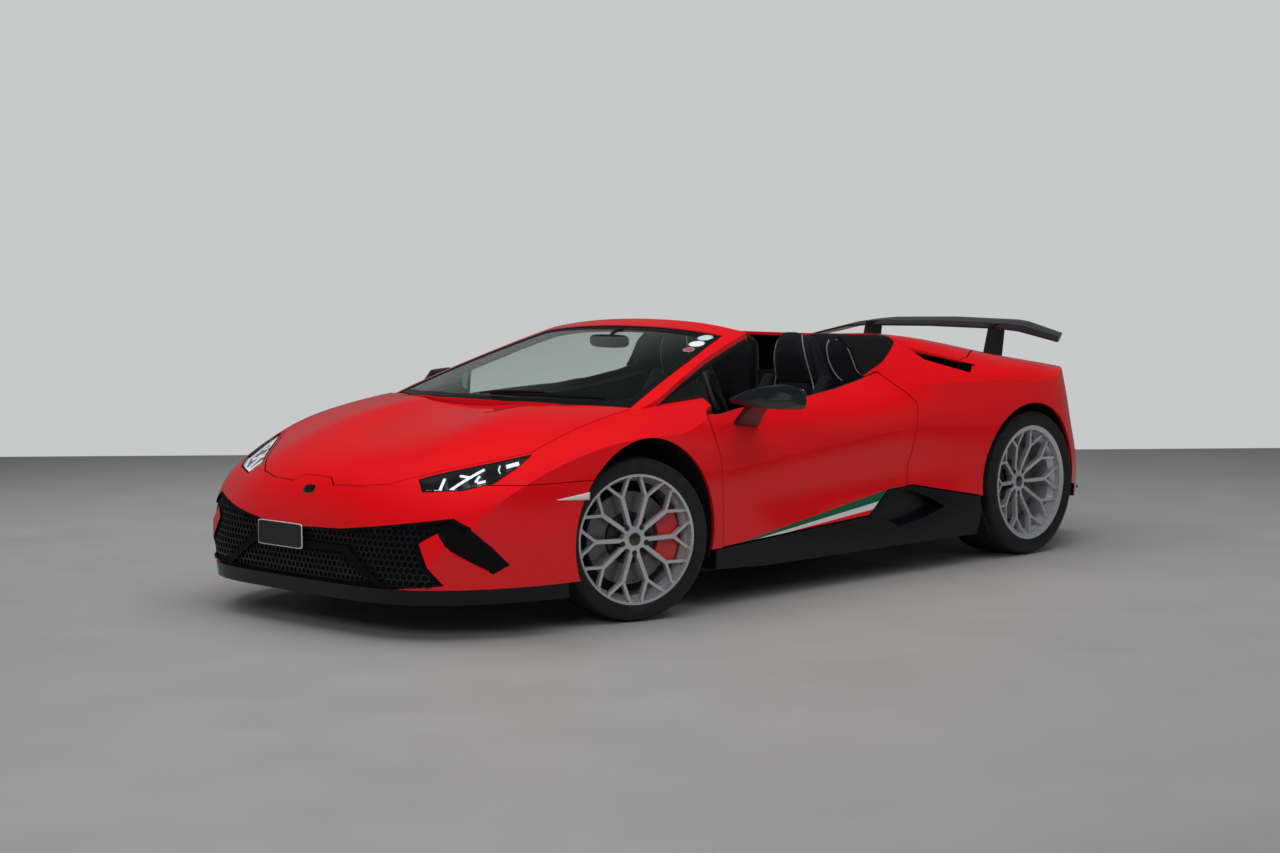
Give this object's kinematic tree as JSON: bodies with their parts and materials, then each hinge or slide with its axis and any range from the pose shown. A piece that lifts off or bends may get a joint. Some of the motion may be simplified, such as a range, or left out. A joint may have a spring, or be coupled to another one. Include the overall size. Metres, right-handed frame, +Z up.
{
  "type": "open-top supercar",
  "caption": "Low mid-engined open-top sports car with a rear wing, opening doors, hood and engine cover, and steered, rolling wheels.",
  "frame": {"origin": "on the ground, at the middle of the car's length and width", "axes": "+X to the nose, +Y to the left side, +Z up"},
  "size_m": [4.4973, 2.236, 1.1525],
  "materials": {
    "red_paint": "glossy clear-coated red",
    "satin_black": "satin black composite",
    "black_mesh": "black grille mesh",
    "black_plastic": "grained black plastic",
    "dark_metal": "dark coated metal",
    "lamp_glass": "clear lamp cover",
    "windscreen_glass": "tinted laminated glass",
    "caliper_red": "gloss red",
    "black_leather": "black leather and suede",
    "exhaust_steel": "brushed",
    "tail_lamp_red": "red lamp cover",
    "wheel_silver": "brushed silver",
    "tyre_rubber": "black tyre"
  },
  "bodies": {
    "root": {"front_bumper": "red_paint", "fenders": "red_paint", "head_lamps": "lamp_glass", "front_grille": "black_mesh", "splitter": "satin_black", "windscreen_frame": "red_paint", "windscreen": "windscreen_glass", "quarters": "red_paint", "rear_deck": "red_paint", "rear_bumper": "red_paint", "rear_grille": "black_mesh", "front_frame": "dark_metal", "cowl": "satin_black", "front_liners": "black_plastic", "rear_liners": "black_plastic", "side_skirts": "satin_black", "rear_frame": "dark_metal", "front_arms": "dark_metal", "rear_suspension": "dark_metal", "rear_calipers": "caliper_red", "seats": "black_leather", "dashboard": "black_leather", "steering_wheel": "black_leather", "console": "black_leather", "rear_trim": "black_leather", "wing": "satin_black", "wing_pylons": "satin_black", "quarter_lights": "windscreen_glass", "exhaust": "exhaust_steel", "diffuser": "satin_black", "tail_lamps": "tail_lamp_red", "tub": "dark_metal", "engine_block": "dark_metal"},
    "door_left": {"door_left": "red_paint", "mirror_left": "satin_black"},
    "door_right": {"door_right": "red_paint", "mirror_right": "satin_black"},
    "hood": {"hood": "red_paint"},
    "engine_cover": {"engine_cover": "red_paint"},
    "steer_left": {"knuckle_left": "dark_metal", "caliper_left": "caliper_red"},
    "steer_right": {"knuckle_right": "dark_metal", "caliper_right": "caliper_red"},
    "wheel_fl": {"rim_fl": "wheel_silver", "tyre_fl": "tyre_rubber"},
    "wheel_fr": {"rim_fr": "wheel_silver", "tyre_fr": "tyre_rubber"},
    "wheel_rl": {"rim_rl": "wheel_silver", "tyre_rl": "tyre_rubber"},
    "wheel_rr": {"rim_rr": "wheel_silver", "tyre_rr": "tyre_rubber"}
  },
  "joints": [
    {"name": "door_left_hinge", "type": "hinge", "parent": "root", "child": "door_left", "pos_m": [0.716, 0.893, 0.5], "axis": [0, 0, -1], "range_deg": [0, 60]},
    {"name": "door_right_hinge", "type": "hinge", "parent": "root", "child": "door_right", "pos_m": [0.716, -0.893, 0.5], "axis": [0, 0, 1], "range_deg": [0, 60]},
    {"name": "hood_hinge", "type": "hinge", "parent": "root", "child": "hood", "pos_m": [0.98, 0, 0.795], "axis": [0, 1, 0], "range_deg": [-48, 0]},
    {"name": "engine_cover_hinge", "type": "hinge", "parent": "root", "child": "engine_cover", "pos_m": [-1.5, 0, 0.893], "axis": [0, -1, 0], "range_deg": [0, 40]},
    {"name": "steering", "type": "hinge", "parent": "root", "child": "steer_left", "pos_m": [1.243, 0.814, 0.3], "axis": [0, 0, 1], "range_deg": [-15.5, 48.5]},
    {"name": "steering_right", "type": "hinge", "parent": "root", "child": "steer_right", "pos_m": [1.243, -0.814, 0.3], "axis": [0, 0, 1], "range_deg": [-15.5, 48.5]},
    {"name": "wheel_fl_spin", "type": "hinge", "parent": "steer_left", "child": "wheel_fl", "pos_m": [1.24868, 0.83318, 0.3275], "axis": [0.284, 0.9588, 0], "continuous": true},
    {"name": "wheel_fr_spin", "type": "hinge", "parent": "steer_right", "child": "wheel_fr", "pos_m": [1.23732, -0.83318, 0.3275], "axis": [0.284, 0.9588, 0], "continuous": true},
    {"name": "wheel_rl_spin", "type": "hinge", "parent": "root", "child": "wheel_rl", "pos_m": [-1.377, 0.81, 0.3455], "axis": [0, 1, 0], "continuous": true},
    {"name": "wheel_rr_spin", "type": "hinge", "parent": "root", "child": "wheel_rr", "pos_m": [-1.377, -0.81, 0.3455], "axis": [0, 1, 0], "continuous": true}
  ],
  "couplings": [
    {"joint": "steering_right", "follows": "steering", "ratio": 1}
  ]
}
